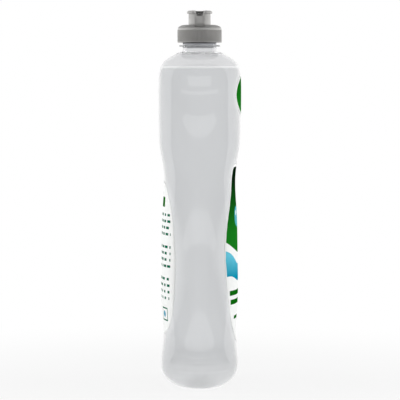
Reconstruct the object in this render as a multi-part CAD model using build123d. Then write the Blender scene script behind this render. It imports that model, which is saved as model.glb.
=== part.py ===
from build123d import *
import math
import os

# Dish soap bottle: clear blown body with three film labels, soap inside and a push-pull closure.
# Millimetres, +Z up, standing on Z = 0. The front label faces -Y, the widths run along X.

# Blown body: widths are seen from the front, depths from the narrow side.
body_height = 242.0
shoulder_width = 103.0
waist_width = 86.0
foot_width = 99.0
base_taper_width = 7.0
shoulder_depth = 60.0
grip_depth = 51.5
panel_depth = 55.2
crease_depth = 52.9
foot_depth = 56.4
base_taper_depth = 1.4
collar_diameter = 30.0
oval_fullness = 2.3
ellipse_fullness = 2.0
base_blend = 25.0
collar_blend = 19.4
heel_radius = 13.5
body_wall = 0.7
push_up_height = 4.0
push_up_slope = 50.0
standing_ring = 3.5

# Neck finish, a 28 mm one.
neck_diameter = 24.4
neck_wall = 1.6
neck_height = 16.2
ring_projection = 2.85
ring_thickness = 1.3
ring_round = 0.5
ring_height = 3.9
thread_projection = 1.5

# Soap.
fill_height = 231.3
soap_gap = 0.1

# Labels.
label_film = 0.25
label_glue = 0.05
front_label_half_width = 35.4
front_label_top = 161.8
front_label_bottom = 31.0
back_label_half_width = 36.6
back_label_top = 148.6
back_label_bottom = 37.4
oval_label_width = 60.0
oval_label_height = 29.4
oval_label_middle = 211.1

# Closure.
thread_clearance = 0.35
skirt_wall = 1.65
rib_depth = 0.35
rib_count = 108
rib_rooting = 0.3
rib_band_bottom = 0.6
rib_band_top = 1.5
edge_bevel_height = 1.0
edge_bevel_width = 0.35
skirt_above_ring = 1.8
skirt_edge_height = 10.5
land_clearance = 0.2
deck_thickness = 1.3
dome_rise = 2.3
dome_corner_width = 1.7
dome_corner_height = 1.5
slot_lift = 0.3
plug_clearance = 0.25
plug_wall = 0.9
plug_length = 3.0

# Push-pull spout and the tower that it slides on.
spout_diameter = 16.1
spout_height = 12.05
well_clearance = 0.3
slide_clearance = 0.2
snap_step = 0.5
snap_overlap = 0.3
snap_height = 0.8
snap_slope = 0.4
spout_wall = 1.85
lip_projection = 1.2
lip_height = 2.25
lip_round = 0.6
lip_crown = 1.35
lip_root = 0.5
bowl_inset = 0.2
bowl_bevel = 0.5
bowl_depth = 3.2
bowl_floor = 1.0
channel_count = 3
channel_width = 7.15
notch_top_width = 5.8
notch_bottom_width = 3.7
notch_depth = 3.5
notch_flare = 28.0
orifice_diameter = 3.6
pin_clearance = 0.08
pin_rise = 1.5
pin_bevel = 0.9
tower_wall = 1.2
spoke_count = 3
spoke_width = 1.4
spoke_rooting = 0.2

# Sizes that follow from those above.
neck_radius = neck_diameter / 2
bore_radius = neck_radius - neck_wall
collar_radius = collar_diameter / 2
finish_top = body_height + neck_height
ring_bottom = body_height + ring_height
thread_radius = neck_radius + thread_projection
skirt_bore = thread_radius + thread_clearance
skirt_root = skirt_bore + skirt_wall
skirt_radius = skirt_root + rib_depth
skirt_bottom = ring_bottom + ring_thickness + skirt_above_ring
skirt_edge = skirt_bottom + skirt_edge_height
deck_bottom = finish_top + land_clearance
well_floor = deck_bottom + deck_thickness
dome_top = skirt_edge + dome_rise
spout_radius = spout_diameter / 2
well_radius = spout_radius + well_clearance
spout_bottom = well_floor + well_clearance
spout_top = spout_bottom + spout_height
spout_bore = spout_radius - spout_wall
snap_bore = spout_bore - snap_step
tower_radius = snap_bore - slide_clearance
tower_snap = snap_bore + snap_overlap
floor_top = spout_top - bowl_depth
floor_bottom = floor_top - bowl_floor
tower_top = floor_bottom - 2 * slide_clearance
tower_bore = tower_radius - tower_wall
orifice_radius = orifice_diameter / 2
pin_radius = orifice_radius - pin_clearance
channel_face = math.sqrt(spout_radius**2 - (channel_width / 2) ** 2)
channel_turns = [180 + index * 360 / channel_count for index in range(channel_count)]
on_floor = (Align.CENTER, Align.CENTER, Align.MIN)
outward = (Align.MIN, Align.CENTER, Align.MIN)

# Heights of the horizontal sections of the body, as shares of its height.
section_shares = (
    0.0, 0.037, 0.074, 0.11, 0.149, 0.2, 0.27, 0.36, 0.45, 0.525, 0.575, 0.605, 0.635, 0.662, 0.69, 0.72,
    0.77, 0.82, 0.865, 0.90, 0.925, 0.945, 0.96, 0.973, 0.984, 0.993, 1.0,
)


def between(low, high, share):
    return low + share * (high - low)


def side_outline():
    """Half depth over height, seen from the narrow side: foot, crease, panel, grip, shoulder."""
    foot = foot_depth / 2
    crease = crease_depth / 2
    panel = panel_depth / 2
    grip = grip_depth / 2
    shoulder = shoulder_depth / 2
    shares = [
        (0.0, foot - base_taper_depth / 2),
        (0.075, foot),
        (0.149, crease),
        (0.25, between(crease, panel, 0.92)),
        (0.37, panel),
        (0.525, between(grip, panel, 0.54)),
        (0.605, grip),
        (0.662, between(grip, shoulder, 0.24)),
        (0.69, between(grip, shoulder, 0.56)),
        (0.72, between(grip, shoulder, 0.82)),
        (0.77, between(grip, shoulder, 0.94)),
        (0.885, shoulder),
        (0.934, between(collar_radius, shoulder, 0.97)),
        (0.959, between(collar_radius, shoulder, 0.88)),
        (0.977, between(collar_radius, shoulder, 0.65)),
        (0.989, between(collar_radius, shoulder, 0.32)),
        (1.0, collar_radius),
    ]
    return Spline(*[(half, share * body_height) for share, half in shares])


def front_outline():
    """Half width over height, seen from the front: foot, waist, shoulder."""
    foot = foot_width / 2
    waist = waist_width / 2
    shoulder = shoulder_width / 2
    shares = [
        (0.0, foot - base_taper_width / 2),
        (0.075, foot),
        (0.165, between(waist, foot, 0.72)),
        (0.29, between(waist, foot, 0.22)),
        (0.434, waist),
        (0.58, between(waist, shoulder, 0.20)),
        (0.68, between(waist, shoulder, 0.52)),
        (0.765, between(waist, shoulder, 0.83)),
        (0.855, shoulder),
        (0.91, between(collar_radius, shoulder, 0.965)),
        (0.942, between(collar_radius, shoulder, 0.88)),
        (0.965, between(collar_radius, shoulder, 0.74)),
        (0.981, between(collar_radius, shoulder, 0.53)),
        (0.9925, between(collar_radius, shoulder, 0.27)),
        (1.0, collar_radius),
    ]
    return Spline(*[(half, share * body_height) for share, half in shares])


def half_at(outline, height):
    """Distance of an outline from the axis at one height."""
    low = 0.0
    high = 1.0
    for _ in range(40):
        middle = (low + high) / 2
        if (outline @ middle).Y < height:
            low = middle
        else:
            high = middle
    return (outline @ low).X


side = side_outline()
front = front_outline()
sections = [
    (share * body_height, half_at(front, share * body_height), half_at(side, share * body_height))
    for share in section_shares
]


def oval(half_width, half_depth, fullness):
    """Closed oval, an ellipse at a fullness of 2 and squarer above that."""
    count = 16
    points = []
    for index in range(count):
        angle = math.radians(index * 360 / count)
        across = math.cos(angle)
        along = math.sin(angle)
        x = math.copysign(abs(across) ** (2 / fullness), across)
        y = math.copysign(abs(along) ** (2 / fullness), along)
        points.append((half_width * x, half_depth * y))
    return make_face(Spline(*points, periodic=True))


def section_fullness(height):
    """Fullness of a section: an ellipse at the base and at the collar, squarer between them."""
    base_share = max(0.0, 1 - height / base_blend)
    collar_share = max(0.0, 1 - (body_height - height) / collar_blend)
    return between(oval_fullness, ellipse_fullness, max(base_share, collar_share))


def body_form(inset):
    """The body as a solid. A positive inset is a smaller form inside it, a negative one a skin outside."""
    lift = max(inset, 0.0)
    squeeze = (body_height - 2 * lift) / body_height
    rings = []
    for height, half_width, half_depth in sections:
        ring = oval(half_width - inset, half_depth - inset, section_fullness(height))
        rings.append(Pos(0, 0, lift + height * squeeze) * ring)
    form = loft(rings)
    foot_edge = form.edges().group_by(Axis.Z)[0]
    return fillet(foot_edge, heel_radius - inset)


def push_up_form(growth):
    """The hollow under the base that leaves a standing ring round it."""
    foot = sections[0]
    half_width = foot[1] - heel_radius - standing_ring + growth
    half_depth = foot[2] - heel_radius - standing_ring + growth
    height = push_up_height + growth
    run = push_up_height / math.tan(math.radians(push_up_slope))
    mouth = oval(half_width, half_depth, ellipse_fullness)
    roof = Pos(0, 0, height) * oval(half_width - run, half_depth - run, ellipse_fullness)
    return loft([mouth, roof])


def make_bottle():
    form = body_form(0)
    cavity = body_form(body_wall) - push_up_form(body_wall)
    neck = Pos(0, 0, body_height - body_wall) * Cylinder(neck_radius, neck_height + body_wall, align=on_floor)
    ring = Pos(0, 0, ring_bottom) * Cylinder(neck_radius + ring_projection, ring_thickness, align=on_floor)
    ring = fillet(ring.edges().filter_by(GeomType.CIRCLE), ring_round)
    bore = Pos(0, 0, body_height - 3 * body_wall) * Cylinder(
        bore_radius, neck_height + 4 * body_wall, align=on_floor
    )
    return form - push_up_form(0) - cavity + neck + ring - bore


def make_soap():
    form = body_form(body_wall + soap_gap) - push_up_form(body_wall + soap_gap)
    return form & Box(2 * shoulder_width, 2 * shoulder_depth, fill_height, align=on_floor)


def mirrored_outline(points):
    """Closed face from the right half of an outline in X and Z, running from the top to the bottom."""
    left = [(-x, z) for x, z in points[-2:0:-1]]
    return make_face(Spline(*points, *left, periodic=True))


def front_label_outline():
    half = front_label_half_width
    height = front_label_top - front_label_bottom
    shares = [
        (0, 1), (0.40, 0.998), (0.70, 0.985), (0.75, 0.94), (0.765, 0.86), (0.90, 0.735), (0.985, 0.60),
        (1.0, 0.45), (0.955, 0.30), (0.88, 0.185), (0.62, 0.075), (0.3, 0.015), (0, 0),
    ]
    return mirrored_outline([(x * half, front_label_bottom + z * height) for x, z in shares])


def back_label_outline():
    half = back_label_half_width
    height = back_label_top - back_label_bottom
    shares = [
        (0, 1), (0.45, 0.983), (0.74, 0.908), (0.91, 0.758), (0.975, 0.56), (1.0, 0.28), (0.965, 0.168),
        (0.86, 0.085), (0.58, 0.022), (0, 0),
    ]
    return mirrored_outline([(x * half, back_label_bottom + z * height) for x, z in shares])


def oval_label_outline():
    return Pos(0, oval_label_middle) * Ellipse(oval_label_width / 2, oval_label_height / 2)


def make_label(outline, facing):
    """Film that follows the body, cut to an outline seen from the front or the back."""
    cutter = extrude(Plane.XZ * outline, amount=-facing * shoulder_depth)
    return (body_form(-label_glue - label_film) & cutter) - body_form(-label_glue)


def ribbed_outline():
    """Skirt outline with shallow ribs, seen from above."""
    step = 360 / rib_count
    one_rib = ((skirt_radius, -0.2), (skirt_radius, 0.2), (skirt_root, 0.4), (skirt_root, 0.6))
    points = []
    for index in range(rib_count):
        for radius, share in one_rib:
            angle = math.radians((index + share) * step)
            points.append((radius * math.cos(angle), radius * math.sin(angle)))
    return make_face(Polyline(*points, close=True))


def closure_shell():
    """Skirt, deck, dome, plug ring and tower with its snap bead, turned about the axis."""
    plug_radius = bore_radius - plug_clearance
    band_bottom = skirt_edge - rib_band_top
    dome_edge = skirt_radius - edge_bevel_width
    bead_bottom = tower_top - snap_height - snap_slope
    outer = Polyline(
        (tower_bore, deck_bottom),
        (plug_radius - plug_wall, deck_bottom),
        (plug_radius - plug_wall, deck_bottom - plug_length),
        (plug_radius, deck_bottom - plug_length),
        (plug_radius, deck_bottom),
        (skirt_bore, deck_bottom),
        (skirt_bore, skirt_bottom),
        (skirt_root, skirt_bottom),
        (skirt_root, band_bottom),
        (skirt_radius, band_bottom),
        (skirt_radius, skirt_edge - edge_bevel_height),
        (dome_edge, skirt_edge),
    )
    dome = Spline(
        outer @ 1,
        (dome_edge - dome_corner_width, skirt_edge + dome_corner_height),
        (well_radius, dome_top),
        tangents=[(-1, 2), (-1, 0)],
    )
    inner = Polyline(
        dome @ 1,
        (well_radius, well_floor),
        (tower_radius, well_floor),
        (tower_radius, bead_bottom - snap_slope),
        (tower_snap, bead_bottom),
        (tower_snap, tower_top - snap_slope),
        (tower_snap - snap_overlap, tower_top),
        (tower_bore, tower_top),
        (tower_bore, deck_bottom),
    )
    return revolve(Plane.XZ * make_face([outer, dome, inner]), Axis.Z)


def drain_slot(turn):
    """Shallow valley in the dome that lets soap run off in front of a flat of the spout."""
    valley = Box(skirt_radius, channel_width, dome_rise, align=outward)
    valley -= Cylinder(spout_radius, dome_rise, align=on_floor)
    return Rot(0, 0, turn) * Pos(0, 0, skirt_edge + slot_lift) * valley


def sealing_pin():
    """Pin that stands in the orifice while the spout is down."""
    pin = Pos(0, 0, deck_bottom) * Cylinder(pin_radius, floor_top + pin_rise - deck_bottom, align=on_floor)
    return chamfer(pin.edges().group_by(Axis.Z)[-1], pin_bevel)


def make_closure():
    rib_height = skirt_edge_height - rib_band_top - rib_band_bottom
    core = Circle(skirt_root - rib_rooting)
    ribs = Pos(0, 0, skirt_bottom + rib_band_bottom) * extrude(ribbed_outline() - core, amount=rib_height)
    foot_band = Pos(0, 0, skirt_bottom) * extrude(Circle(skirt_radius) - core, amount=rib_band_bottom)
    closure = closure_shell() + ribs + foot_band
    for turn in channel_turns:
        closure -= drain_slot(turn)
    closure += sealing_pin()
    spoke = Pos(0, 0, deck_bottom) * Box(
        tower_bore + spoke_rooting, spoke_width, deck_thickness, align=outward
    )
    for index in range(spoke_count):
        closure += Rot(0, 0, index * 360 / spoke_count) * spoke
    return closure


def make_spout():
    """Sleeve with a drooping lip, a bowl at the top and a snap bead at the bottom, then its cuts."""
    lip_radius = spout_radius + lip_projection
    lip_bottom = spout_top - lip_height
    bowl_radius = spout_bore - bowl_inset
    corner = lip_round * (1 - math.sqrt(0.5))
    start = Polyline(
        (orifice_radius, floor_bottom),
        (spout_bore, floor_bottom),
        (spout_bore, spout_bottom + snap_height + snap_slope),
        (snap_bore, spout_bottom + snap_height),
        (snap_bore, spout_bottom),
        (spout_radius, spout_bottom),
        (spout_radius, lip_bottom + lip_root),
        (lip_radius - lip_round, lip_bottom),
    )
    tip = ThreePointArc(
        start @ 1, (lip_radius - corner, lip_bottom + corner), (lip_radius, lip_bottom + lip_round)
    )
    crown = ThreePointArc(
        tip @ 1,
        (lip_radius - 0.3 * lip_crown, between(spout_top, lip_bottom + lip_round, 0.3)),
        (lip_radius - lip_crown, spout_top),
    )
    finish = Polyline(
        crown @ 1,
        (bowl_radius + bowl_bevel, spout_top),
        (bowl_radius, spout_top - bowl_bevel),
        (bowl_radius, floor_top),
        (orifice_radius, floor_top),
        (orifice_radius, floor_bottom),
    )
    sleeve = revolve(Plane.XZ * make_face([start, tip, crown, finish]), Axis.Z)
    for turn in channel_turns:
        sleeve -= Rot(0, 0, turn) * channel_cut()
        sleeve -= Rot(0, 0, turn) * notch_cut()
    return sleeve


def channel_cut():
    """Flat on the side of the sleeve, up to the underside of the lip."""
    height = spout_height - lip_height + lip_root
    return Pos(channel_face, 0, spout_bottom) * Box(spout_radius, spout_diameter, height, align=outward)


def notch_cut():
    """Trapezoid gap in the rim that flares outward."""
    top = notch_top_width / 2
    bottom = notch_bottom_width / 2
    face = make_face(
        Polyline(
            (-bottom, 0), (bottom, 0), (top, notch_depth), (top, 2 * notch_depth), (-top, 2 * notch_depth),
            (-top, notch_depth), (-bottom, 0),
        )
    )
    inner_face = spout_bore - 3 * bowl_inset
    plane = Plane(origin=(inner_face, 0, spout_top - notch_depth), x_dir=(0, 1, 0), z_dir=(1, 0, 0))
    return extrude(plane * face, amount=spout_radius, taper=-notch_flare)


def main():
    os.makedirs("parts", exist_ok=True)
    nodes = {
        "bottle": make_bottle(),
        "soap_fill": make_soap(),
        "front_label": make_label(front_label_outline(), -1),
        "shoulder_label": make_label(oval_label_outline(), -1),
        "back_label": make_label(back_label_outline(), 1),
        "closure": make_closure(),
        "spout": make_spout(),
    }
    for name, shape in nodes.items():
        export_step(shape, f"parts/{name}.step")


main()
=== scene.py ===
import math

import bmesh
import bpy
import numpy as np
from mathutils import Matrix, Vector
from mathutils.kdtree import KDTree


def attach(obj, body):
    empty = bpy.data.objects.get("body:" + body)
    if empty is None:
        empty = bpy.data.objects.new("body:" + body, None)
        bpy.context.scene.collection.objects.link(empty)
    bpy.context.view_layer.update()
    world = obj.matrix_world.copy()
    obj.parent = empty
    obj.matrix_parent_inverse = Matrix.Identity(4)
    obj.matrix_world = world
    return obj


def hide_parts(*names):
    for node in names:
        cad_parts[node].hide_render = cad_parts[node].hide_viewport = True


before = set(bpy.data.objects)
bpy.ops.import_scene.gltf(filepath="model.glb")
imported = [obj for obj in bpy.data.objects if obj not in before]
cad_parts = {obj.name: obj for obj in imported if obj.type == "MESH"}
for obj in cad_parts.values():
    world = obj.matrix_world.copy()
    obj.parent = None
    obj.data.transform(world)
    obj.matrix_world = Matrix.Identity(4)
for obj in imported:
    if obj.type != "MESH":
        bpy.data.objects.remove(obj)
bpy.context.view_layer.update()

MM = 0.001

# Sizes of the bottle as in the part's source: millimetres, degrees and the exponents of ovals
BODY_HEIGHT = 242.0
SHOULDER_WIDTH = 103.0
WAIST_WIDTH = 86.0
FOOT_WIDTH = 99.0
SHOULDER_DEPTH = 60.0
GRIP_DEPTH = 51.5
PANEL_DEPTH = 55.2
CREASE_DEPTH = 52.9
FOOT_DEPTH = 56.4
BASE_TAPER_WIDTH = 7.0
BASE_TAPER_DEPTH = 1.4
BASE_BLEND = 25.0
COLLAR_BLEND = 19.4
COLLAR_RADIUS = 15.0
OVAL_FULLNESS = 2.3
ELLIPSE_FULLNESS = 2.0
HEEL_RADIUS = 13.5
WALL = 0.7
PUSH_UP_HEIGHT = 4.0
PUSH_UP_SLOPE = 50.0
STANDING_RING = 3.5
NECK_RADIUS = 12.2
BORE_RADIUS = 10.6
FINISH_TOP = 258.2
RING_RADIUS = 15.05
RING_BOTTOM = 245.9
RING_THICKNESS = 1.3
RING_TOP = RING_BOTTOM + RING_THICKNESS
FILL_HEIGHT = 231.3
SOAP_GAP = 0.1
RIB_TOP = 258.0
SKIRT_TOP = 259.5
SPOUT_RADIUS = 8.05
BOWL_RADIUS = 6.0

# Finer sizes of the meshes, in millimetres. Pairs are steps along the radius and along the height.
SKIN = 0.04
NECK_FILLET = ((1.2, 0.0), (0.4, 0.15), (0.1, 0.5), (0.0, 1.2))
RING_ROOT = ((0.0, -0.3), (0.2, 0.0))
RING_CORNER = ((0.45, 0.1), (0.1, 0.35))
MOUTH_OUTER = ((0.0, 0.4), (0.15, 0.1), (0.4, 0.0))
MOUTH_INNER = ((0.4, 0.0), (0.1, 0.1), (0.0, 0.4))
BORE_HEIGHTS = (BODY_HEIGHT + 1.6, BODY_HEIGHT + 0.3, BODY_HEIGHT - WALL + 0.01)
THREAD_START = 250.6
THREAD_PITCH = 4.2
THREAD_TURNS = 1.6
THREAD_SUNK = 0.15
THREAD_HEIGHT = 1.45
THREAD_HALF = 1.15

# Shares: how much of the thread thins out at each end and to what width, the flat of its crest, and the
# rings of the soap's surface, each a share of the width with its drop in millimetres
THREAD_END = 0.06
THREAD_LEAST = 0.35
THREAD_CREST = 0.3
SOAP_SURFACE = ((0.985, 0.1), (0.96, 0.15), (0.8, 0.18), (0.5, 0.2), (0.2, 0.2))

# Labels: outlines in millimetres, and shares of their half width and height from the top to the bottom
FRONT_HALF = 35.4
FRONT_BOTTOM = 31.0
FRONT_TOP = 161.8
FRONT_SHARES = [
    (0, 1), (0.40, 0.998), (0.70, 0.985), (0.75, 0.94), (0.765, 0.86), (0.90, 0.735), (0.985, 0.60),
    (1.0, 0.45), (0.955, 0.30), (0.88, 0.185), (0.62, 0.075), (0.3, 0.015), (0, 0),
]
BACK_HALF = 36.6
BACK_BOTTOM = 37.4
BACK_TOP = 148.6
BACK_SHARES = [
    (0, 1), (0.45, 0.983), (0.74, 0.908), (0.91, 0.758), (0.975, 0.56), (1.0, 0.28), (0.965, 0.168),
    (0.86, 0.085), (0.58, 0.022), (0, 0),
]
OVAL_HALF = 30.0
OVAL_MIDDLE = 211.1
OVAL_RISE = 14.7
LABEL_GLUE = 0.04
LABEL_FILM = 0.22
EDGE_TAPER = 0.8
EDGE_LEAST = 0.1
END_INSET = 0.02
END_HALF = 0.25
COVER_SOFT = 6.0
FRONT_SIDE = -1
BACK_SIDE = 1

# Fineness of the meshes, and the angles in degrees below which an edge is smooth
SMOOTH_ANGLE = 40
LABEL_SMOOTH_ANGLE = 50
THREAD_SMOOTH_ANGLE = 70
AROUND = 144
CURVE_STEPS = 16
CURVE_WRAP = 4
HEEL_STEPS = 12
OUTER_STEPS = 110
INNER_STEPS = 100
SOAP_STEPS = 90
CROWD_START = 225.0
CROWD_STEPS = 40
ROOF_SHARES = (0.2, 0.5, 0.75, 0.92)
SLOPE_STEPS = 8
OVAL_STEPS = 160
LABEL_ROWS = 150
LABEL_COLUMNS = 56
THREAD_STEPS = 150


def between(low, high, share):
    """Value at a share of the way from low to high."""
    return low + share * (high - low)


# Shape of the body

def curve_point(ends, bends, length, share):
    """Point at a share of one stretch of a cubic curve, from its two ends and the bend at each."""
    rest = 1 - share
    straight = rest * ends[0] + share * ends[1]
    return straight + length**2 / 6 * ((rest**3 - rest) * bends[0] + (share**3 - share) * bends[1])


def curve_through(points, closed=False):
    """Points along a smooth cubic curve through the given ones."""
    knots = np.array(points, float)
    if closed:
        knots = np.vstack([knots[-CURVE_WRAP:], knots, knots[: CURVE_WRAP + 1]])
    count = len(knots)
    steps = knots[1:] - knots[:-1]
    lengths = np.sqrt((steps**2).sum(1))
    left = np.zeros((count, count))
    right = np.zeros((count, 2))
    left[0, 0] = left[-1, -1] = 1
    for i in range(1, count - 1):
        before, after = lengths[i - 1], lengths[i]
        left[i, i - 1 : i + 2] = before, 2 * (before + after), after
        right[i] = 6 * (steps[i] / after - steps[i - 1] / before)
    bends = np.linalg.solve(left, right)
    first, last = (CURVE_WRAP, count - 1 - CURVE_WRAP) if closed else (0, count - 1)
    line = []
    for i in range(first, last):
        for k in range(CURVE_STEPS):
            line.append(curve_point(knots[i : i + 2], bends[i : i + 2], lengths[i], k / CURVE_STEPS))
    return np.array(line + [knots[last]])


def side_outline():
    """Half the depth over the height."""
    foot = FOOT_DEPTH / 2
    crease = CREASE_DEPTH / 2
    panel = PANEL_DEPTH / 2
    grip = GRIP_DEPTH / 2
    shoulder = SHOULDER_DEPTH / 2
    shares = [
        (0.0, foot - BASE_TAPER_DEPTH / 2),
        (0.075, foot),
        (0.149, crease),
        (0.25, between(crease, panel, 0.92)),
        (0.37, panel),
        (0.525, between(grip, panel, 0.54)),
        (0.605, grip),
        (0.662, between(grip, shoulder, 0.24)),
        (0.69, between(grip, shoulder, 0.56)),
        (0.72, between(grip, shoulder, 0.82)),
        (0.77, between(grip, shoulder, 0.94)),
        (0.885, shoulder),
        (0.934, between(COLLAR_RADIUS, shoulder, 0.97)),
        (0.959, between(COLLAR_RADIUS, shoulder, 0.88)),
        (0.977, between(COLLAR_RADIUS, shoulder, 0.65)),
        (0.989, between(COLLAR_RADIUS, shoulder, 0.32)),
        (1.0, COLLAR_RADIUS),
    ]
    return curve_through([(half, share * BODY_HEIGHT) for share, half in shares])


def front_outline():
    """Half the width over the height."""
    foot = FOOT_WIDTH / 2
    waist = WAIST_WIDTH / 2
    shoulder = SHOULDER_WIDTH / 2
    shares = [
        (0.0, foot - BASE_TAPER_WIDTH / 2),
        (0.075, foot),
        (0.165, between(waist, foot, 0.72)),
        (0.29, between(waist, foot, 0.22)),
        (0.434, waist),
        (0.58, between(waist, shoulder, 0.20)),
        (0.68, between(waist, shoulder, 0.52)),
        (0.765, between(waist, shoulder, 0.83)),
        (0.855, shoulder),
        (0.91, between(COLLAR_RADIUS, shoulder, 0.965)),
        (0.942, between(COLLAR_RADIUS, shoulder, 0.88)),
        (0.965, between(COLLAR_RADIUS, shoulder, 0.74)),
        (0.981, between(COLLAR_RADIUS, shoulder, 0.53)),
        (0.9925, between(COLLAR_RADIUS, shoulder, 0.27)),
        (1.0, COLLAR_RADIUS),
    ]
    return curve_through([(half, share * BODY_HEIGHT) for share, half in shares])


SIDE = side_outline()
FRONT = front_outline()


def half_depth(z):
    """Half the depth of the visible wall at a height, a skin's width inside the solid's."""
    return float(np.interp(z, SIDE[:, 1], SIDE[:, 0])) - SKIN


def half_width(z):
    """Half the width of the visible wall at a height, a skin's width inside the solid's."""
    return float(np.interp(z, FRONT[:, 1], FRONT[:, 0])) - SKIN


def fullness(z):
    """Exponent of the body's oval at a height, which is an ellipse at the base and the collar."""
    near_base = max(0.0, 1 - z / BASE_BLEND)
    near_collar = max(0.0, 1 - (BODY_HEIGHT - z) / COLLAR_BLEND)
    return between(OVAL_FULLNESS, ELLIPSE_FULLNESS, max(near_base, near_collar))


def oval(z, half_x, half_y, exponent):
    """Ring of points on an oval at one height."""
    turn = np.linspace(0, 2 * math.pi, AROUND, endpoint=False)
    c, s = np.cos(turn), np.sin(turn)
    x = half_x * np.sign(c) * np.abs(c) ** (2 / exponent)
    y = half_y * np.sign(s) * np.abs(s) ** (2 / exponent)
    return np.column_stack([x, y, np.full(AROUND, z)])


def squeeze(inset):
    """Share of the body's height that is left inside an inset."""
    return (BODY_HEIGHT - 2 * inset) / BODY_HEIGHT


def heel_rings(inset):
    """Rings of the rounded heel, from the standing ring up to the wall."""
    radius = HEEL_RADIUS - inset
    rings = []
    for k in range(HEEL_STEPS + 1):
        turn = math.radians(90 * k / HEEL_STEPS)
        rise = radius * (1 - math.cos(turn))
        pull = inset + radius * (1 - math.sin(turn))
        rings.append(oval(inset + rise, half_width(rise) - pull, half_depth(rise) - pull, fullness(rise)))
    return rings


def body_rings(inset, high, steps):
    """Rings of the body, set in by an inset, from its heel up to a height."""
    low = (HEEL_RADIUS - inset) / squeeze(inset)
    crowd = np.linspace(CROWD_START, BODY_HEIGHT, CROWD_STEPS)
    crowd = crowd[(crowd > low) & (crowd < high)]
    rings = heel_rings(inset)
    for z in np.unique(np.concatenate([np.linspace(low, high, steps), crowd])):
        height = inset + z * squeeze(inset)
        rings.append(oval(height, half_width(z) - inset, half_depth(z) - inset, fullness(z)))
    return rings


def push_up_rings(growth):
    """Rings of the hollow under the base, from its roof to its mouth."""
    a = half_width(0) - HEEL_RADIUS - STANDING_RING + growth
    b = half_depth(0) - HEEL_RADIUS - STANDING_RING + growth
    top = PUSH_UP_HEIGHT + growth
    run = PUSH_UP_HEIGHT / math.tan(math.radians(PUSH_UP_SLOPE))
    rings = [oval(top, (a - run) * k, (b - run) * k, ELLIPSE_FULLNESS) for k in ROOF_SHARES]
    for k in range(SLOPE_STEPS + 1):
        share = k / SLOPE_STEPS
        ease = share * share * (3 - 2 * share)
        back = run * (1 - share)
        rings.append(oval(top * (1 - ease), a - back, b - back, ELLIPSE_FULLNESS))
    return rings


def ring_outline():
    """Support ring from its lower root over its rounded edge to its upper root."""
    lower = [(NECK_RADIUS + out, RING_BOTTOM + rise) for out, rise in RING_ROOT]
    lower += [(RING_RADIUS - back, RING_BOTTOM + rise) for back, rise in RING_CORNER]
    upper = [(radius, RING_BOTTOM + RING_TOP - z) for radius, z in reversed(lower)]
    return lower + [(RING_RADIUS, (RING_BOTTOM + RING_TOP) / 2)] + upper


def neck_rings():
    """Rings of the neck, up its outside, over its mouth and down its bore."""
    points = [(NECK_RADIUS + out, BODY_HEIGHT + rise) for out, rise in NECK_FILLET]
    points += ring_outline()
    points += [(NECK_RADIUS - back, FINISH_TOP - drop) for back, drop in MOUTH_OUTER]
    points += [(BORE_RADIUS + out, FINISH_TOP - drop) for out, drop in MOUTH_INNER]
    points += [(BORE_RADIUS, z) for z in BORE_HEIGHTS]
    return [oval(z, radius, radius, ELLIPSE_FULLNESS) for radius, z in points]


# Meshes

def make_object(name, verts, faces, body, smooth_angle=SMOOTH_ANGLE):
    """Smooth mesh object from points in millimetres, which rides on a body."""
    mesh = bpy.data.meshes.new(name)
    mesh.from_pydata([tuple(v) for v in np.asarray(verts) * MM], [], faces)
    bm = bmesh.new()
    bm.from_mesh(mesh)
    bmesh.ops.recalc_face_normals(bm, faces=bm.faces)
    bm.to_mesh(mesh)
    bm.free()
    mesh.polygons.foreach_set("use_smooth", [True] * len(mesh.polygons))
    mesh.set_sharp_from_angle(angle=math.radians(smooth_angle))
    obj = bpy.data.objects.new(name, mesh)
    bpy.context.scene.collection.objects.link(obj)
    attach(obj, body)
    return obj


def mark_points(obj, name, values):
    """Keep a number for each point of a mesh, for its material to read."""
    obj.data.attributes.new(name, "FLOAT", "POINT").data.foreach_set("value", values)


def skin(rings):
    """Closed surface over rings of equal count, with a fan at each end."""
    count = len(rings[0])
    verts = [p for ring in rings for p in ring]
    faces = []
    for i in range(len(rings) - 1):
        low, high = i * count, (i + 1) * count
        for k in range(count):
            n = (k + 1) % count
            faces.append((low + k, low + n, high + n, high + k))
    for ring, base in ((rings[0], 0), (rings[-1], (len(rings) - 1) * count)):
        middle = len(verts)
        verts.append(ring.mean(0))
        faces += [(base + k, base + (k + 1) % count, middle) for k in range(count)]
    return verts, faces


def covered_share(verts, line, facing):
    """1 at each point of the wall under a label, fading to 0 a few millimetres outside its outline."""
    points = np.asarray(verts)
    border = KDTree(len(line))
    for index, (x, z) in enumerate(line):
        border.insert((x, 0.0, z), index)
    border.balance()
    away = np.array([border.find((abs(x), 0.0, z))[2] for x, _, z in points])
    reach = np.interp(points[:, 2], line[::-1, 1], line[::-1, 0], left=-1.0, right=-1.0)
    fade = np.clip(1 - away / COVER_SOFT, 0.0, 1.0)
    share = np.where(np.abs(points[:, 0]) < reach, 1.0, fade)
    return np.where(points[:, 1] * facing > 0, share, 0.0)


def wall_slot(corner, neck_start, inner_start):
    """Material slot of a face by its lowest point number: 0 outer wall, 1 inner wall, 2 neck."""
    if corner < neck_start:
        return 0
    return 2 if corner < inner_start else 1


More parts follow.
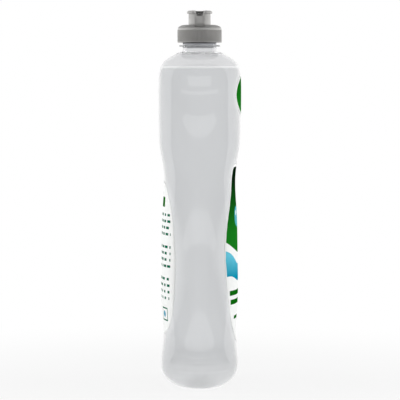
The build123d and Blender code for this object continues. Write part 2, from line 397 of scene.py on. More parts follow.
def make_bottle(labels):
    """Bottle with its wall, neck and support ring, marked where the labels cover it."""
    outer = push_up_rings(0) + body_rings(0, BODY_HEIGHT, OUTER_STEPS)
    neck = neck_rings()
    inner = body_rings(WALL, BODY_HEIGHT, INNER_STEPS)[::-1] + push_up_rings(WALL)[::-1]
    verts, faces = skin(outer + neck + inner)
    obj = make_object("bottle_shell", verts, faces, "bottle_body")
    neck_start = (len(outer) + len(NECK_FILLET)) * AROUND
    inner_start = (len(outer) + len(neck)) * AROUND
    slots = [wall_slot(min(face), neck_start, inner_start) for face in faces]
    obj.data.polygons.foreach_set("material_index", slots)
    covered = [covered_share(verts, line, facing) for line, facing in labels]
    # The covered mark carries painted light on the wall under and round the labels
    mark_points(obj, "covered", np.max(covered, axis=0))
    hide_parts("bottle")
    return obj


def make_soap():
    """Soap up to the fill line, a little lower in the middle than where it climbs the wall."""
    inset = WALL + SOAP_GAP
    top = (FILL_HEIGHT - inset) / squeeze(inset)
    rings = push_up_rings(inset) + body_rings(inset, top, SOAP_STEPS)
    edge = rings[-1]
    for share, drop in SOAP_SURFACE:
        ring = edge * np.array([share, share, 1.0])
        ring[:, 2] -= drop
        rings.append(ring)
    verts, faces = skin(rings)
    obj = make_object("soap", verts, faces, "bottle_body")
    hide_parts("soap_fill")
    return obj


def surface_y(x, z, offset):
    """Distance of the body's front or back from its middle plane, moved out by an offset."""
    half_x = half_width(z) + offset
    half_y = half_depth(z) + offset
    exponent = fullness(z)
    return half_y * max(0.0, 1 - (abs(x) / half_x) ** exponent) ** (1 / exponent)


def outline_half(shares, half, low, high):
    """Right half of a label's outline, top to bottom, as a dense line of x and z."""
    right = [(x * half, low + z * (high - low)) for x, z in shares]
    loop = curve_through(right + [(-x, z) for x, z in right[-2:0:-1]], closed=True)
    line = loop[loop[:, 0] >= -1e-9]
    return line[np.argsort(-line[:, 1])]


def oval_outline():
    """Right half of the oval label's outline, top to bottom."""
    turn = np.linspace(math.pi / 2, -math.pi / 2, OVAL_STEPS)
    return np.column_stack([OVAL_HALF * np.cos(turn), OVAL_MIDDLE + OVAL_RISE * np.sin(turn)])


def label_heights(line):
    """Heights of the film's rows, closer together at its top and bottom."""
    top, bottom = line[0, 1], line[-1, 1]
    wave = (1 - np.cos(np.linspace(0, math.pi, LABEL_ROWS))) / 2
    heights = top + (bottom - top) * wave
    heights[0] -= END_INSET
    heights[-1] += END_INSET
    return heights


def label_points(line, facing):
    """Points of the film's outer and inner side, row by row, and how far each is from the outline."""
    border = np.vstack([line, line * np.array([-1, 1])])
    points, edge = [], []
    for film_share in (1.0, 0.0):
        for z in label_heights(line):
            reach = max(END_HALF, float(np.interp(z, line[::-1, 1], line[::-1, 0])))
            for x in np.linspace(-reach, reach, LABEL_COLUMNS):
                away = math.sqrt(((border - (x, z)) ** 2).sum(1).min())
                thick = LABEL_FILM * film_share * min(1.0, EDGE_LEAST + away / EDGE_TAPER)
                points.append((x, facing * surface_y(x, z, LABEL_GLUE + thick), z))
                edge.append(away)
    return points, edge


def label_sides():
    """Faces of the film's outer and inner side, by turns."""
    size = LABEL_ROWS * LABEL_COLUMNS
    faces = []
    for row in range(LABEL_ROWS - 1):
        for column in range(LABEL_COLUMNS - 1):
            a = row * LABEL_COLUMNS + column
            b, c, d = a + 1, a + LABEL_COLUMNS + 1, a + LABEL_COLUMNS
            faces += [(a, b, c, d), (size + a, size + d, size + c, size + b)]
    return faces


def label_rim():
    """Faces of the narrow strip round the film's edge."""
    size = LABEL_ROWS * LABEL_COLUMNS
    grid = np.arange(size).reshape(LABEL_ROWS, LABEL_COLUMNS)
    rim = np.concatenate([grid[0], grid[1:, -1], grid[-1, -2::-1], grid[-2:0:-1, 0]]).tolist()
    return [(p, q, size + q, size + p) for p, q in zip(rim, rim[1:] + rim[:1])]


def make_label(name, line, facing, node):
    """Film that follows the body inside an outline, with its print in slot 0 and its backing in slot 1."""
    points, edge = label_points(line, facing)
    sides = label_sides()
    rim = label_rim()
    obj = make_object(name, points, sides + rim, "bottle_body", LABEL_SMOOTH_ANGLE)
    slots = [k % 2 for k in range(len(sides))] + [0] * len(rim)
    obj.data.polygons.foreach_set("material_index", slots)
    mark_points(obj, "edge", edge)
    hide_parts(node)
    return obj


def thread_section(share):
    """Radius and height of the ridge's four corners, from its own middle, which thins out at both ends."""
    fade = min(1.0, share / THREAD_END, (1 - share) / THREAD_END)
    root = NECK_RADIUS - THREAD_SUNK
    crest = root + THREAD_HEIGHT * fade
    half = THREAD_HALF * between(THREAD_LEAST, 1.0, fade)
    flat = THREAD_CREST * half
    return (root, -half), (crest, -flat), (crest, flat), (root, half)


def make_thread():
    """Ridge of the neck thread, a little over a turn and a half."""
    verts, faces = [], []
    for i in range(THREAD_STEPS + 1):
        share = i / THREAD_STEPS
        turn = 2 * math.pi * THREAD_TURNS * share
        z = THREAD_START + THREAD_PITCH * THREAD_TURNS * share
        for radius, rise in thread_section(share):
            verts.append((radius * math.cos(turn), radius * math.sin(turn), z + rise))
    for i in range(THREAD_STEPS):
        base = 4 * i
        for k in range(4):
            n = (k + 1) % 4
            faces.append((base + k, base + n, base + 4 + n, base + 4 + k))
    end = 4 * THREAD_STEPS
    faces += [(0, 1, 2, 3), (end + 3, end + 2, end + 1, end)]
    obj = make_object("neck_thread", verts, faces, "bottle_body", THREAD_SMOOTH_ANGLE)
    return obj


# Colours

PLASTIC_LOW = (0.812, 0.815, 0.823)
PLASTIC_HIGH = (0.826, 0.829, 0.837)
# Painted highlight along the fill line, on the wall and on the soap's top
FILL_LINE_HIGHLIGHT = (0.995, 0.995, 0.995)
# Painted shade: darker bands low on the foot
FOOT_SHADE = (0.788, 0.791, 0.799)
FOOT_EDGE_SHADE = (0.750, 0.753, 0.761)
# Painted light: paler at the heel
HEEL_LIGHT = (0.95, 0.95, 0.955)
# Painted light: paler at the neck root
ROOT_LIGHT = (0.95, 0.95, 0.955)
HEADSPACE = (0.833, 0.836, 0.843)
# Painted light: paler on the wall under and round the labels
COVERED_LIGHT = (0.96, 0.963, 0.967)
NECK = (0.82, 0.83, 0.86)
# Painted shade on the neck: greyer at the ring and darkest under it
RING_SHADE = (0.71, 0.72, 0.73)
NECK_SHADE = (0.53, 0.54, 0.55)
# Painted shadow in the gap under the closure's skirt
UNDER_SKIRT_SHADOW = (0.02, 0.02, 0.02)
SOAP_LOW = (0.947, 0.957, 0.957)
SOAP_HIGH = (0.963, 0.973, 0.973)
CAP_LOW = (0.42, 0.414, 0.402)
CAP_HIGH = (0.46, 0.454, 0.442)
# Painted highlight on the plain edge above the closure's ribs
CAP_EDGE_HIGHLIGHT = (0.54, 0.534, 0.522)
# Painted shade on the closure's dome
CAP_DOME_SHADE = (0.34, 0.336, 0.328)
SPOUT_LOW = (0.48, 0.474, 0.462)
SPOUT_HIGH = (0.52, 0.514, 0.502)
# Painted light at the spout's foot and on its flats
SPOUT_PAINTED_LIGHT = (0.62, 0.613, 0.598)
# Painted shade inside the spout's bowl
BOWL_SHADE = (0.20, 0.198, 0.194)
BACKING_LOW = (0.93, 0.94, 0.94)
BACKING_HIGH = (0.96, 0.96, 0.96)
WHITE = (0.90, 0.91, 0.90)
DEEP = (0.002, 0.012, 0.003)
GREEN = (0.004, 0.125, 0.004)
LEAF = (0.009, 0.18, 0.012)
SKY = (0.13, 0.55, 0.70)
TEAL = (0.0, 0.26, 0.41)
INK = (0.006, 0.13, 0.07)


def metres(*millimetres):
    """Sizes in metres from sizes in millimetres."""
    return tuple(value * MM for value in millimetres)


# Where tints change, as heights and radii in metres: the low and high end, and the softness of a band
HEEL_LIGHT_FADE = metres(2.5, 12.7)
FOOT_SHADE_BAND = metres(13.0, 22.0, 4.0)
FOOT_EDGE_SHADE_BAND = metres(15.0, 20.2, 0.8)
SOAP_TOP_HIGHLIGHT_FADE = metres(FILL_HEIGHT - 1.2, FILL_HEIGHT - 1.0)
FILL_HIGHLIGHT_BAND = metres(FILL_HEIGHT - 1.0, FILL_HEIGHT + 0.5, 0.1)
HEADSPACE_BAND = metres(FILL_HEIGHT + 1.2, FILL_HEIGHT + 5.7, 3.0)
COAT_FADE = metres(FILL_HEIGHT - 0.3, FILL_HEIGHT + 8.7)
ROOT_BAND = metres(BODY_HEIGHT - 0.9, BODY_HEIGHT + 0.4, 0.3)
SHADE_FADE = metres(RING_BOTTOM - 1.0, RING_BOTTOM - 0.8)
RING_SHADE_FADE = metres(RING_BOTTOM - 0.2, RING_BOTTOM + 0.2)
NECK_FADE = metres(RING_TOP - 0.1, RING_TOP + 0.2)
GAP_SHADOW_BAND = metres(RING_TOP + 1.0, RING_TOP + 2.2, 0.2)
GAP_SHADOW_REACH = 4.0 * MM
GAP_SHADOW_OPENNESS = (0.40, 0.55)
CAP_HIGHLIGHT_BAND = metres(RIB_TOP, SKIRT_TOP - 0.3, 0.2)
DOME_SHADE_FADE = metres(SKIRT_TOP - 0.1, SKIRT_TOP + 0.3)
SPOUT_FOOT_LIGHT_FADE = metres(SKIRT_TOP + 1.5, SKIRT_TOP + 8.5)
FLAT_LIGHT_FADE = metres(SPOUT_RADIUS - 0.65, SPOUT_RADIUS - 0.05)
BOWL_SHADE_FADE = metres(BOWL_RADIUS + 0.1, BOWL_RADIUS + 0.4)

# Print on the front label, in metres: curves rise with the square of x, bubbles are x, z and radius, and
# bars are z, half length and half height. The glint is in shares of its bubble's radius.
FIELD_FADE = metres(112.0, 150.0)
FIELD_FOOT = 96.5 * MM
FIELD_CURVE = 8.0
RIPPLE_RATE = 150.0
RIPPLE_HEIGHT = 2.2 * MM
WAVE_BOTTOM = 79.0 * MM
WAVE_TOP = 90.5 * MM
WAVE_CURVE = 6.0
WAVE_FADE = metres(80.0, 96.0)
BUBBLES = (
    metres(-12.0, 123.5, 7.5),
    metres(6.0, 136.0, 4.8),
    metres(13.0, 119.0, 3.6),
    metres(-2.0, 149.0, 2.6),
)
BUBBLE_SHARE = 0.75
GLINT_LEFT = 0.3
GLINT_UP = 0.35
GLINT_RADIUS = 0.25
BARS = (metres(69.0, 31.5, 1.8), metres(62.5, 30.5, 1.8), metres(51.0, 22.5, 1.2))
BORDER_FADE = metres(135.0, 160.0)

# Print on the oval and the back label, in metres: a rectangle is x, z, half length and half height. Half
# the height of a row and the lengths of its bars are shares of their pitch.
OVAL_FADE = metres(199.0, 223.0)
OVAL_STRETCH = 2.04
OVAL_RING = 21.5 * MM
OVAL_RING_HALF = 0.5 * MM
PAGE = metres(0.0, 95.2, 31.5, 32.2)
ROW_START = 63.0 * MM
ROW_PITCH = 4.6 * MM
ROW_HALF = 0.20
ROW_SHIFT = 20.0 * MM
BAR_PITCH = 7.2 * MM
BAR_LEAST = 0.40
BAR_SPREAD = 0.45
BLOCK_ROWS = 5.0
BLOCK_FILLED = 3.5
HEAD_BAND = metres(0.0, 134.0, 19.0, 3.6)
BOX_PLACES = metres(-21.5, 0.0, 21.5)
BOX_HEIGHT = 53.5 * MM
BOX_OUTER = metres(7.0, 4.8)
BOX_INNER = metres(6.0, 3.8)
BOX_DOT = 2.4 * MM
PRINT_EDGE = 0.05 * MM

# White borders of the labels and half their soft edge, in millimetres
FRONT_BORDER = (1.1, 2.2)
OVAL_BORDER = 0.9
BACK_BORDER = 1.2
BORDER_EDGE = 0.08


# Materials

class Tree:
    """Small helper for the nodes of a material or a world."""

    def __init__(self, owner, output="ShaderNodeOutputMaterial"):
        self.owner = owner
        owner.use_nodes = True
        self.nodes = owner.node_tree.nodes
        self.links = owner.node_tree.links
        self.nodes.clear()
        self.output = self.nodes.new(output)

    def put(self, socket, value):
        """Set a socket from another socket, a colour or a number."""
        if isinstance(value, bpy.types.NodeSocket):
            self.links.new(value, socket)
        elif isinstance(value, tuple):
            socket.default_value = (*value, 1.0)
        else:
            socket.default_value = value

    def math(self, operation, *values):
        node = self.nodes.new("ShaderNodeMath")
        node.operation = operation
        for socket, value in zip(node.inputs, values):
            self.put(socket, value)
        return node.outputs[0]

    def add(self, a, b):
        return self.math("ADD", a, b)

    def subtract(self, a, b):
        return self.math("SUBTRACT", a, b)

    def multiply(self, a, b):
        return self.math("MULTIPLY", a, b)

    def larger(self, a, b):
        return self.math("MAXIMUM", a, b)

    def apart(self, a, b):
        """Distance between two numbers."""
        return self.math("ABSOLUTE", self.subtract(a, b))

    def reach(self, a, b):
        """Length of the way that goes a along one axis and b along another."""
        return self.math("SQRT", self.add(self.multiply(a, a), self.multiply(b, b)))

    def blend(self, share, a, b):
        """Number between a and b by a share."""
        return self.add(a, self.multiply(share, self.subtract(b, a)))

    def span(self, value, low, high, out_low, out_high, smooth=False):
        """Value carried from one range to another and held at its ends."""
        node = self.nodes.new("ShaderNodeMapRange")
        node.interpolation_type = "SMOOTHSTEP" if smooth else "LINEAR"
        self.put(node.inputs["Value"], value)
        limits = {"From Min": low, "From Max": high, "To Min": out_low, "To Max": out_high}
        for name, number in limits.items():
            node.inputs[name].default_value = number
        return node.outputs["Result"]

    def band(self, value, low, high, soft, smooth=False):
        """1 between two values, falling off softly outside them."""
        rise = self.span(value, low - soft, low, 0.0, 1.0, smooth)
        return self.multiply(rise, self.span(value, high, high + soft, 1.0, 0.0, smooth))

    def mix(self, share, a, b):
        """Colour between a and b by a share."""
        node = self.nodes.new("ShaderNodeMix")
        node.data_type = "RGBA"
        self.put(node.inputs["Factor"], share)
        self.put(node.inputs["A"], a)
        self.put(node.inputs["B"], b)
        return node.outputs["Result"]

    def place(self, kind="Object"):
        return self.nodes.new("ShaderNodeTexCoord").outputs[kind]

    def axes(self, kind="Object"):
        node = self.nodes.new("ShaderNodeSeparateXYZ")
        self.links.new(self.place(kind), node.inputs[0])
        return node.outputs

    def attribute(self, name):
        node = self.nodes.new("ShaderNodeAttribute")
        node.attribute_name = name
        return node.outputs["Fac"]

    def noise(self, scale, detail=2.0):
        node = self.nodes.new("ShaderNodeTexNoise")
        node.inputs["Scale"].default_value = scale
        node.inputs["Detail"].default_value = detail
        self.links.new(self.place(), node.inputs["Vector"])
        return node.outputs["Fac"]

    def chance(self, value):
        """A number from 0 to 1 that is fixed for each whole value."""
        node = self.nodes.new("ShaderNodeTexWhiteNoise")
        node.noise_dimensions = "1D"
        self.put(node.inputs["W"], value)
        return node.outputs["Value"]

    def enclosed(self, distance):
        """1 where other surfaces stand close round a point, 0 where it lies open."""
        node = self.nodes.new("ShaderNodeAmbientOcclusion")
        node.samples = 8
        node.inputs["Distance"].default_value = distance
        return self.span(node.outputs["AO"], *GAP_SHADOW_OPENNESS, 1, 0)

    def bump(self, height, strength, distance):
        node = self.nodes.new("ShaderNodeBump")
        node.inputs["Strength"].default_value = strength
        node.inputs["Distance"].default_value = distance
        self.links.new(height, node.inputs["Height"])
        return node.outputs["Normal"]

    def shader(self, kind, **values):
        """Shader node with its sockets set by name."""
        node = self.nodes.new(kind)
        for name, value in values.items():
            self.put(node.inputs[name.replace("_", " ")], value)
        return node.outputs[0]

    def finish(self, shader):
        self.links.new(shader, self.output.inputs["Surface"])
        return self.owner

    def surface(self, **values):
        return self.finish(self.shader("ShaderNodeBsdfPrincipled", **values))


def material_tree(name):
    return Tree(bpy.data.materials.new(name))


def clear_plastic(name, glossy):
    """Clear wall, bright at the fill line (painted highlight), darker in bands on the foot (painted
    shade), pale at the heel and under labels and pale and frosted at the neck root (painted light).
    """
    t = material_tree(name)
    z = t.axes()[2]
    tint = t.mix(t.noise(18.0), PLASTIC_LOW, PLASTIC_HIGH)
    # Painted shade: darker bands low on the foot
    tint = t.mix(t.band(z, *FOOT_SHADE_BAND), tint, FOOT_SHADE)
    tint = t.mix(t.band(z, *FOOT_EDGE_SHADE_BAND), tint, FOOT_EDGE_SHADE)
    # Painted light: paler at the heel
    tint = t.mix(t.span(z, *HEEL_LIGHT_FADE, 1, 0), tint, HEEL_LIGHT)
    tint = t.mix(t.band(z, *HEADSPACE_BAND), tint, HEADSPACE)
    # Painted light: paler on the wall under and round the labels
    tint = t.mix(t.attribute("covered"), tint, COVERED_LIGHT)
    # Painted highlight: bright band along the fill line
    tint = t.mix(t.band(z, *FILL_HIGHLIGHT_BAND), tint, FILL_LINE_HIGHLIGHT)
    # Painted light: the neck root is paler as well as frosted
    root = t.band(z, *ROOT_BAND)
    frost = t.multiply(root, 0.6)
    return t.surface(
        Base_Color=t.mix(root, tint, ROOT_LIGHT),
        Transmission_Weight=1.0,
        IOR=1.03,
        Roughness=t.add(t.span(t.noise(60.0), 0, 1, 0.03, 0.06), frost),
        Coat_Weight=t.span(z, *COAT_FADE, 1.0, 0.3) if glossy else 0.0,
        Coat_Roughness=0.05,
        Coat_IOR=1.6,
    )


def neck_plastic():
    """Thick clear neck with painted shade, greyer at its ring and darkest under it, and a painted shadow
    in the gap under the closure's skirt.
    """
    t = material_tree("clear_plastic_neck")
    z = t.axes()[2]
    tint = t.mix(t.noise(18.0), PLASTIC_LOW, PLASTIC_HIGH)
    # Painted shade: darkest under the support ring, then greyer at the ring
    tint = t.mix(t.span(z, *SHADE_FADE, 0, 1), tint, NECK_SHADE)
    tint = t.mix(t.span(z, *RING_SHADE_FADE, 0, 1), tint, RING_SHADE)
    tint = t.mix(t.span(z, *NECK_FADE, 0, 1), tint, NECK)
    # Painted shadow: near black in the gap under the skirt, where ambient occlusion finds the closure
    # close by
    gap = t.multiply(t.band(z, *GAP_SHADOW_BAND), t.enclosed(GAP_SHADOW_REACH))
    return t.surface(
        Base_Color=t.mix(gap, tint, UNDER_SKIRT_SHADOW),
        Transmission_Weight=t.span(z, *SHADE_FADE, 1.0, 0.7),
        IOR=1.1,
        Roughness=t.span(t.noise(60.0), 0, 1, 0.08, 0.14),
        Coat_Weight=0.3,
        Coat_Roughness=0.05,
        Coat_IOR=1.6,
    )


def soap_liquid():
    """Clear soap that scatters a little, is clearest along the fill line, and has a painted highlight
    there.
    """
    t = material_tree("soap")
    tint = t.mix(t.noise(9.0), SOAP_LOW, SOAP_HIGH)
    # Painted highlight: the soap's top is tinted bright along the fill line
    top = t.span(t.axes()[2], *SOAP_TOP_HIGHLIGHT_FADE, 0, 1)
    cloud = t.subtract(t.span(t.noise(30.0), 0, 1, 0.45, 0.55), t.multiply(top, 0.4))
    return t.surface(
        Base_Color=t.mix(top, tint, FILL_LINE_HIGHLIGHT), Transmission_Weight=1.0, IOR=1.1, Roughness=cloud
    )


def label_backing():
    """Bright back of the label film, as it shows through the soap."""
    t = material_tree("label_backing")
    return t.surface(
        Base_Color=t.mix(t.noise(40.0), BACKING_LOW, BACKING_HIGH),
        Metallic=1.0,
        Roughness=t.span(t.noise(80.0), 0, 1, 0.30, 0.40),
    )


def grey_plastic(t, low, high, *zones):
    """Satin moulded plastic, with zones of another tint given as a share and a colour."""
    tint = t.mix(t.span(t.noise(160.0, 3.0), 0.3, 0.7, 0, 1), low, high)
    for share, colour in zones:
        tint = t.mix(share, tint, colour)
    return t.surface(
        Base_Color=tint,
        Roughness=t.span(t.noise(300.0), 0.3, 0.7, 0.42, 0.52),
        IOR=1.46,
        Normal=t.bump(t.noise(900.0), 0.05, 0.2 * MM),
    )


def cap_plastic():
    """Grey closure, with a painted highlight on the plain edge above the ribs and painted shade on the
    dome.
    """
    t = material_tree("cap_grey")
    z = t.axes()[2]
    # Painted highlight on the plain edge above the ribs
    edge = t.band(z, *CAP_HIGHLIGHT_BAND)
    # Painted shade on the dome
    dome = t.span(z, *DOME_SHADE_FADE, 0, 1)
    return grey_plastic(t, CAP_LOW, CAP_HIGH, (edge, CAP_EDGE_HIGHLIGHT), (dome, CAP_DOME_SHADE))


def spout_plastic():
    """Paler grey spout, with painted light at its foot, on its flats and in its notches, and painted shade
    inside its bowl.
    """
    t = material_tree("spout_grey")
    x, y, z = t.axes()
    reach = t.reach(x, y)
    # Painted light at the spout's foot and on its flats
    foot = t.span(z, *SPOUT_FOOT_LIGHT_FADE, 1, 0)
    flat = t.span(reach, *FLAT_LIGHT_FADE, 0.7, 0)
    # Painted shade inside the bowl
    bowl = t.span(reach, *BOWL_SHADE_FADE, 1, 0)
    zones = (foot, SPOUT_PAINTED_LIGHT), (flat, SPOUT_PAINTED_LIGHT), (bowl, BOWL_SHADE)
    return grey_plastic(t, SPOUT_LOW, SPOUT_HIGH, *zones)


def film(t, tint):
    """Matte print whose colour runs a little lighter and darker."""
    shade = t.nodes.new("ShaderNodeHueSaturation")
    t.put(shade.inputs["Color"], tint)
    t.put(shade.inputs["Value"], t.span(t.noise(240.0), 0, 1, 0.94, 1.02))
    return t.surface(
        Base_Color=shade.outputs["Color"],
        Roughness=t.span(t.noise(120.0), 0, 1, 0.45, 0.55),
        Specular_IOR_Level=0.0,
    )


def inside(t, distance):
    """1 where a distance in metres is below zero, with a soft edge a tenth of a millimetre wide."""
    return t.span(distance, -PRINT_EDGE, PRINT_EDGE, 1.0, 0.0)


def disc(t, x, z, at_x, at_z, radius):
    """Distance from the edge of a disc, below zero inside it."""
    return t.subtract(t.reach(t.subtract(x, at_x), t.subtract(z, at_z)), radius)


def bar(t, x, z, at_x, at_z, half_x, half_z):
    """Distance from the edge of an upright rectangle, below zero inside it."""
    return t.larger(t.subtract(t.apart(x, at_x), half_x), t.subtract(t.apart(z, at_z), half_z))


def inner_share(t, width):
    """1 further inside the label than a border of that width in millimetres."""
    return t.span(t.subtract(t.attribute("edge"), width), -BORDER_EDGE, BORDER_EDGE, 0.0, 1.0)


def wave_share(t, x, z, square):
    """1 on a wave with a rippled foot and crest, which rises to both sides."""
    ripple = t.multiply(t.math("SINE", t.multiply(x, RIPPLE_RATE)), RIPPLE_HEIGHT)
    low = t.subtract(t.add(ripple, WAVE_BOTTOM), z)
    crest = t.add(t.multiply(square, WAVE_CURVE), WAVE_TOP)
    high = t.subtract(z, t.add(ripple, crest))
    return inside(t, t.larger(low, high))


def bubble(t, x, z, tint, at_x, at_z, radius):
    """Pale disc with a small white glint, laid over a tint."""
    share = t.multiply(inside(t, disc(t, x, z, at_x, at_z, radius)), BUBBLE_SHARE)
    glint_x = at_x - GLINT_LEFT * radius
    glint_z = at_z + GLINT_UP * radius
    glint = inside(t, disc(t, x, z, glint_x, glint_z, GLINT_RADIUS * radius))
    return t.mix(glint, t.mix(share, tint, SKY), WHITE)


def front_print():
    """Green field with bubbles over a blue wave, and plain green bars on white."""
    t = material_tree("label_front")
    x, _, z = t.axes()
    square = t.multiply(x, x)
    field = t.mix(t.span(z, *FIELD_FADE, 0.0, 1.0), LEAF, DEEP)
    foot = t.add(t.multiply(square, FIELD_CURVE), FIELD_FOOT)
    tint = t.mix(inside(t, t.subtract(foot, z)), WHITE, field)
    sea = t.mix(t.span(z, *WAVE_FADE, 0.0, 1.0), TEAL, SKY)
    tint = t.mix(wave_share(t, x, z, square), tint, sea)
    for place in BUBBLES:
        tint = bubble(t, x, z, tint, *place)
    for at_z, half_x, half_z in BARS:
        tint = t.mix(inside(t, bar(t, x, z, 0.0, at_z, half_x, half_z)), tint, GREEN)
    border = t.span(z, *BORDER_FADE, *FRONT_BORDER)
    return film(t, t.mix(inner_share(t, border), WHITE, tint))


def oval_print():
    """Plain green oval with a paler inner ring and a white border."""
    t = material_tree("label_oval")
    x, _, z = t.axes()
    rise = t.multiply(t.subtract(z, OVAL_MIDDLE * MM), OVAL_STRETCH)
    tint = t.mix(t.span(z, *OVAL_FADE, 0.0, 1.0), LEAF, GREEN)
    ring = t.subtract(t.apart(t.reach(x, rise), OVAL_RING), OVAL_RING_HALF)
    tint = t.mix(inside(t, ring), tint, LEAF)
    return film(t, t.mix(inner_share(t, OVAL_BORDER), WHITE, tint))


def bar_rows(t, x, z):
    """1 on rows of plain bars of uneven length and start, in three blocks."""
    line = t.math("DIVIDE", t.subtract(z, ROW_START), ROW_PITCH)
    row = t.math("FLOOR", line)
    tall = t.math("LESS_THAN", t.apart(t.math("FRACT", line), 0.5), ROW_HALF)
    along = t.math("DIVIDE", t.add(x, t.multiply(t.chance(row), ROW_SHIFT)), BAR_PITCH)
    chance = t.chance(t.add(t.math("FLOOR", along), row))
    length = t.add(t.multiply(chance, BAR_SPREAD), BAR_LEAST)
    wide = t.math("LESS_THAN", t.math("FRACT", along), length)
    blocks = t.math("LESS_THAN", t.math("MODULO", row, BLOCK_ROWS), BLOCK_FILLED)
    page = inside(t, bar(t, x, z, *PAGE))
    return t.multiply(t.multiply(tall, wide), t.multiply(blocks, page))


def back_print():
    """White label with a green head band, blocks of plain bars and a row of plain boxes at the foot."""
    t = material_tree("label_back")
    x, _, z = t.axes()
    tint = t.mix(inside(t, bar(t, x, z, *HEAD_BAND)), WHITE, GREEN)
    tint = t.mix(bar_rows(t, x, z), tint, INK)
    for at_x in BOX_PLACES:
        tint = t.mix(inside(t, bar(t, x, z, at_x, BOX_HEIGHT, *BOX_OUTER)), tint, INK)
        tint = t.mix(inside(t, bar(t, x, z, at_x, BOX_HEIGHT, *BOX_INNER)), tint, WHITE)
        tint = t.mix(inside(t, disc(t, x, z, at_x, BOX_HEIGHT, BOX_DOT)), tint, TEAL)
    return film(t, t.mix(inner_share(t, BACK_BORDER), WHITE, tint))


def paint(obj, *materials):
    """Give a mesh its materials, in the order of its faces' slots."""
    if obj.data.materials:
        obj.data.materials.clear()
    for material in materials:
        obj.data.materials.append(material)


# Pieces with their materials

front_line = outline_half(FRONT_SHARES, FRONT_HALF, FRONT_BOTTOM, FRONT_TOP)
back_line = outline_half(BACK_SHARES, BACK_HALF, BACK_BOTTOM, BACK_TOP)
oval_line = oval_outline()
bottle = make_bottle(((front_line, FRONT_SIDE), (oval_line, FRONT_SIDE), (back_line, BACK_SIDE)))
thread = make_thread()
soap = make_soap()
front_film = make_label("front_print", front_line, FRONT_SIDE, "front_label")
oval_film = make_label("oval_print", oval_line, FRONT_SIDE, "shoulder_label")
back_film = make_label("back_print", back_line, BACK_SIDE, "back_label")

outer_wall = clear_plastic("clear_plastic", glossy=True)
inner_wall = clear_plastic("clear_plastic_inside", glossy=False)
neck_wall = neck_plastic()
backing = label_backing()
paint(bottle, outer_wall, inner_wall, neck_wall)
paint(thread, neck_wall)
paint(soap, soap_liquid())
paint(front_film, front_print(), backing)
paint(oval_film, oval_print(), backing)
paint(back_film, back_print(), backing)
paint(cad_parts["closure"], cap_plastic())
paint(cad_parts["spout"], spout_plastic())


# Stage, light and camera

# Floor, in metres from the bottle's axis: fades by low and high end, the card also with its softness
FLOOR_HALF = 14.0
FLOOR_COLOUR = (0.93, 0.93, 0.93)
FLOOR_FADE = (0.08, 0.40)
FLOOR_NEAR = 0.86
NEAR_FADE = (0.10, 0.18)
FLOOR_CARD_X = (-1.3, -0.72, 0.05)
FLOOR_CARD_Y = (-1.2, 1.2, 0.15)

# Room that the bottle mirrors, by the parts of a unit direction: a card is its low and high end upwards
# and its half width across
SOFT_LIGHT = 0.30
ROOM_EDGE = (0.28, 0.36)
ROOM_DARK = 0.2
CARD_LIGHT = 1.1
CARD_EDGE = (-0.1, 0.0)
CARDS = ((0.33, 0.68, 0.52), (0.10, 0.165, 0.88))
CARD_SOFT_UP = 0.02
CARD_SOFT_ACROSS = 0.06

# Lamps as name, place and size in metres and power in watts, and the camera with its tilt in degrees
LAMPS = (
    ("left", (0.0, 1.5, 0.25), (1.2, 0.7), 19.5),
    ("right", (0.0, -1.5, 0.25), (1.2, 0.7), 19.5),
    ("over", (0.0, 0.0, 1.9), (1.4, 1.4), 1.0),
)
LAMP_TARGET = (0.0, 0.0, 0.15)
CAMERA_PLACE = (-1.6, -0.0003, 0.225)
CAMERA_DOWN = 3.24
CAMERA_LENS = 197.7
CAMERA_SENSOR = 36.0
CAMERA_FAR = 100.0


def floor_room(t, reach):
    """Floor as the bottle mirrors it: bright close by, dark in front, with a bright card further out."""
    x, y, _ = t.axes()
    room = t.span(t.math("DIVIDE", x, reach), *ROOM_EDGE, ROOM_DARK, 1.0, smooth=True)
    room = t.larger(room, t.span(reach, *NEAR_FADE, 1.0, 0.0, smooth=True))
    card = t.multiply(t.band(x, *FLOOR_CARD_X, smooth=True), t.band(y, *FLOOR_CARD_Y, smooth=True))
    return t.larger(room, t.multiply(card, CARD_LIGHT))


def floor_material():
    """Pale floor that keeps a soft shadow near the bottle and fades to white away from it."""
    t = material_tree("floor")
    path = t.nodes.new("ShaderNodeLightPath").outputs
    length = t.nodes.new("ShaderNodeVectorMath")
    length.operation = "LENGTH"
    t.links.new(t.place(), length.inputs[0])
    reach = length.outputs["Value"]
    through = path["Is Transmission Ray"]
    fade = t.span(reach, *FLOOR_FADE, FLOOR_NEAR, 1.0, smooth=True)
    seen = t.larger(t.multiply(path["Is Camera Ray"], fade), t.larger(path["Is Glossy Ray"], through))
    mirrored = t.multiply(path["Is Glossy Ray"], t.subtract(1.0, through))
    glow = t.blend(mirrored, 1.0, floor_room(t, reach))
    mix = t.nodes.new("ShaderNodeMixShader")
    t.put(mix.inputs[0], seen)
    t.put(mix.inputs[1], t.shader("ShaderNodeBsdfDiffuse", Color=FLOOR_COLOUR))
    t.put(mix.inputs[2], t.shader("ShaderNodeEmission", Strength=glow))
    return t.finish(mix.outputs[0])


def make_floor():
    """Floor plane under the bottle."""
    mesh = bpy.data.meshes.new("floor")
    corners = [(-1, -1), (1, -1), (1, 1), (-1, 1)]
    mesh.from_pydata([(FLOOR_HALF * x, FLOOR_HALF * y, 0) for x, y in corners], [], [(0, 1, 2, 3)])
    floor = bpy.data.objects.new("floor", mesh)
    bpy.context.scene.collection.objects.link(floor)
    mesh.materials.append(floor_material())


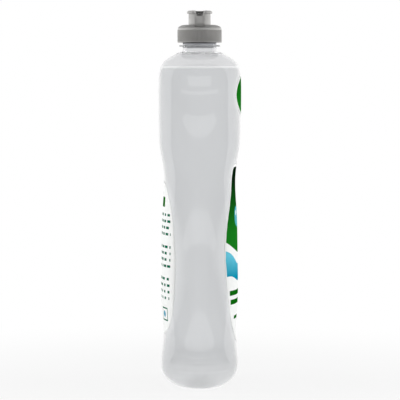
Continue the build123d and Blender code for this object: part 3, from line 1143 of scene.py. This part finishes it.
def make_world():
    """White backdrop with soft light all round, and a dark room with bright cards for what is mirrored."""
    world = bpy.data.worlds.new("studio")
    bpy.context.scene.world = world
    t = Tree(world, "ShaderNodeOutputWorld")
    path = t.nodes.new("ShaderNodeLightPath").outputs
    x, y, z = t.axes("Generated")
    room = t.span(x, *ROOM_EDGE, ROOM_DARK, 1.0, smooth=True)
    front = t.span(x, *CARD_EDGE, CARD_LIGHT, 0.0, smooth=True)
    for low, high, half in CARDS:
        card = t.band(z, low, high, CARD_SOFT_UP, smooth=True)
        card = t.multiply(card, t.band(y, -half, half, CARD_SOFT_ACROSS, smooth=True))
        room = t.larger(room, t.multiply(card, front))
    strength = t.blend(path["Is Glossy Ray"], SOFT_LIGHT, room)
    backdrop = t.larger(path["Is Camera Ray"], path["Is Transmission Ray"])
    strength = t.blend(backdrop, strength, 1.0)
    t.finish(t.shader("ShaderNodeBackground", Color=(1.0, 1.0, 1.0), Strength=strength))


def make_lamp(name, place, size, power):
    """Soft rectangular lamp that looks at the bottle and isn't seen in what mirrors or shows through."""
    data = bpy.data.lights.new(name, "AREA")
    data.shape = "RECTANGLE"
    data.size, data.size_y = size
    data.energy = power
    lamp = bpy.data.objects.new(name, data)
    bpy.context.scene.collection.objects.link(lamp)
    lamp.location = place
    lamp.rotation_euler = (Vector(LAMP_TARGET) - lamp.location).to_track_quat("-Z", "Y").to_euler()
    lamp.visible_glossy = False
    lamp.visible_transmission = False


def make_camera():
    """Camera on the narrow side of the bottle, looking a little down."""
    data = bpy.data.cameras.new("camera")
    data.lens = CAMERA_LENS
    data.sensor_width = CAMERA_SENSOR
    data.clip_end = CAMERA_FAR
    camera = bpy.data.objects.new("camera", data)
    bpy.context.scene.collection.objects.link(camera)
    camera.location = CAMERA_PLACE
    camera.rotation_euler = (math.radians(90 - CAMERA_DOWN), 0.0, math.radians(-90))
    bpy.context.scene.camera = camera


make_floor()
make_world()
for lamp in LAMPS:
    make_lamp(*lamp)
make_camera()
bpy.context.scene.view_settings.view_transform = "Standard"
